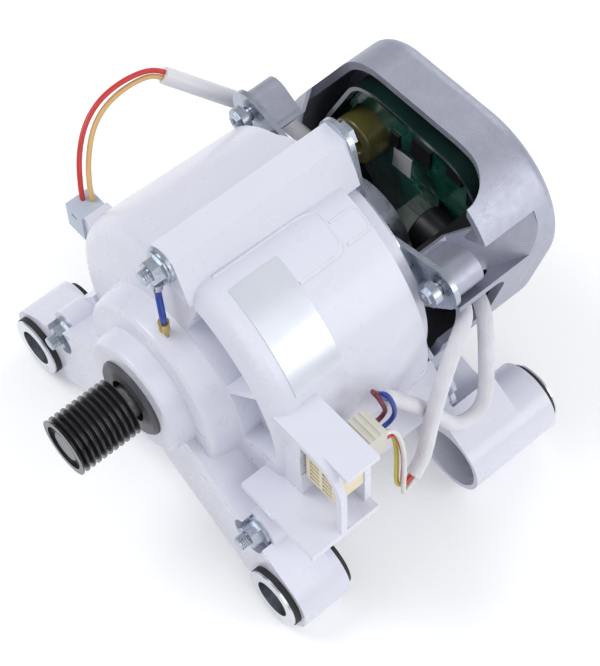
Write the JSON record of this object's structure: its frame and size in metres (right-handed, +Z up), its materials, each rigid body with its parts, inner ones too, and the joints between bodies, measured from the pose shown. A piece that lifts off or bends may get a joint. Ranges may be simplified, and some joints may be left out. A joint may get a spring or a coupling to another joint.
{
  "type": "direct current motor",
  "caption": "Brushless direct current washing machine motor with ribbed pulley, white moulded stator housing, bushed mounting lugs and a die-cast controller housing with an open window.",
  "frame": {"origin": "on the shaft axis at the front face of the pulley", "axes": "+Y along the shaft from the pulley to the controller, +Z up with the motor on its four lugs, +X to the right seen from the pulley"},
  "size_m": [0.161, 0.168, 0.1334],
  "materials": {
    "white_housing": "gloss",
    "insulator": "satin",
    "lamination": "satin",
    "copper": "gloss",
    "magnet": "matte",
    "shaft_steel": "satin",
    "pulley_black": "gloss",
    "bearing_steel": "gloss",
    "cap_grey": "satin",
    "zinc": "satin",
    "die_cast": "satin",
    "black_plastic": "satin",
    "board_green": "gloss",
    "board_metal": "satin",
    "resin": "gloss",
    "film": "satin",
    "choke_olive": "satin",
    "contact_brass": "gloss",
    "rubber_black": "matte",
    "sleeve_steel": "satin",
    "connector_cream": "satin",
    "plug_ivory": "satin",
    "plug_blue_grey": "satin",
    "label_white": "gloss",
    "braid_white": "matte",
    "tube_white": "satin",
    "wire_red": "satin",
    "wire_yellow": "satin",
    "wire_amber": "satin",
    "wire_white": "satin",
    "wire_maroon": "satin",
    "wire_blue": "satin"
  },
  "bodies": {
    "base": {"stator_housing": "white_housing", "front_insulator": "insulator", "rear_insulator": "insulator", "stator_core": "lamination", "stator_coils": "copper", "bearing_cap": "cap_grey", "front_bearing_outer_ring": "bearing_steel", "rear_bearing_outer_ring": "bearing_steel", "wave_washer": "bearing_steel", "rear_end_plate": "zinc", "through_bolts": "zinc", "bolt_washers": "zinc", "bolt_nuts": "zinc", "controller_housing": "die_cast", "controller_screws": "zinc", "controller_tray": "black_plastic", "controller_board": "board_green", "board_screws": "board_metal", "potting_resin": "resin", "power_module": "board_metal", "bus_capacitors": "black_plastic", "film_capacitor": "film", "choke": "choke_olive", "board_chips": "black_plastic", "lead_header": "black_plastic", "sensor_header": "black_plastic", "phase_pins": "contact_brass", "sensor_board": "board_green", "bushes_front": "rubber_black", "bushes_rear": "rubber_black", "sleeves_front": "sleeve_steel", "sleeves_rear": "sleeve_steel", "signal_connector": "connector_cream", "signal_contacts": "contact_brass", "lead_plug": "plug_ivory", "sensor_plug": "plug_blue_grey", "earth_terminal": "zinc", "earth_spade": "contact_brass", "earth_wire": "wire_blue", "rating_plate": "label_white", "lead_sleeve_first": "braid_white", "lead_sleeve_second": "braid_white", "wire_red": "wire_red", "wire_yellow_green": "wire_yellow", "wire_white": "wire_white", "wire_maroon": "wire_maroon", "wire_blue": "wire_blue", "sensor_tube": "tube_white", "sensor_wire_red": "wire_red", "sensor_wire_yellow": "wire_amber"},
    "rotor": {"shaft": "shaft_steel", "pulley": "pulley_black", "rotor_core": "lamination", "rotor_magnets": "magnet", "front_bearing_inner_ring": "bearing_steel", "rear_bearing_inner_ring": "bearing_steel"},
    "front_ball_set": {"front_bearing_balls": "bearing_steel"},
    "rear_ball_set": {"rear_bearing_balls": "bearing_steel"}
  },
  "joints": [
    {"name": "rotor_spin", "type": "hinge", "parent": "base", "child": "rotor", "pos_m": [0, 0, 0], "axis": [0, 1, 0], "continuous": true},
    {"name": "front_ball_roll", "type": "hinge", "parent": "base", "child": "front_ball_set", "pos_m": [0, 0.037, 0], "axis": [0, 1, 0], "continuous": true},
    {"name": "rear_ball_roll", "type": "hinge", "parent": "base", "child": "rear_ball_set", "pos_m": [0, 0.127, 0], "axis": [0, 1, 0], "continuous": true}
  ],
  "couplings": [
    {"joint": "front_ball_roll", "follows": "rotor_spin", "ratio": 0.3808},
    {"joint": "rear_ball_roll", "follows": "rotor_spin", "ratio": 0.3808}
  ]
}
